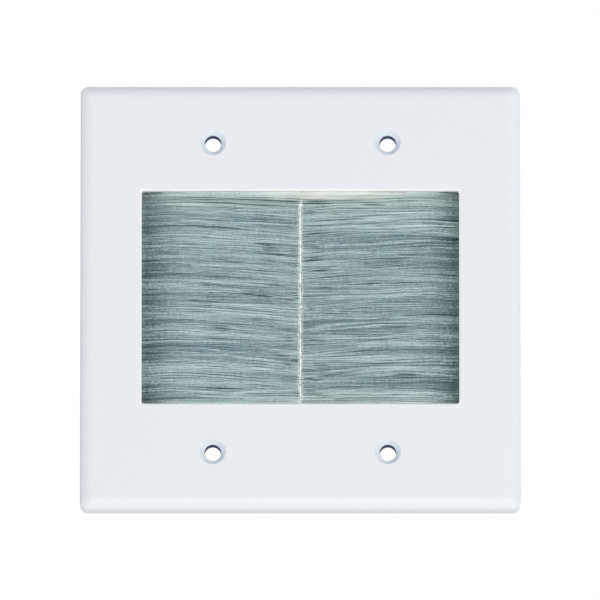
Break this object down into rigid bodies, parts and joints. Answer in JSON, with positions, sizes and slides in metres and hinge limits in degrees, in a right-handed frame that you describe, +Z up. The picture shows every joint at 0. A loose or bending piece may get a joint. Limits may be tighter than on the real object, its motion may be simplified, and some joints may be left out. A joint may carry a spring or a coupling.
{
  "type": "brush wall plate",
  "caption": "Square white wall plate with bevelled edges, countersunk screw holes and a rectangular cable opening closed by brush strips that meet in the middle.",
  "frame": {"origin": "middle of the plate on the wall plane, where the rim of the plate meets the wall", "axes": "+X across the plate to the right as seen from the front, +Z up the plate, +Y into the wall; the face looks towards -Y"},
  "size_m": [0.116, 0.0101, 0.1142],
  "materials": {
    "face_plate_plastic": "moulded ABS, cool white, satin gloss",
    "bristle_nylon": "fine grey nylon filaments laid side by side",
    "channel_steel": "folded galvanised sheet",
    "core_wire_steel": "drawn wire",
    "rear_frame_plastic": "moulded ABS, white, fine matt texture",
    "screw_steel": "bright zinc plate"
  },
  "bodies": {
    "root": {"face_plate": "face_plate_plastic", "left_bristles": "bristle_nylon", "right_bristles": "bristle_nylon", "left_brush_channel": "channel_steel", "right_brush_channel": "channel_steel", "left_core_wire": "core_wire_steel", "right_core_wire": "core_wire_steel", "rear_frame": "rear_frame_plastic", "frame_screws": "screw_steel"}
  },
  "joints": []
}
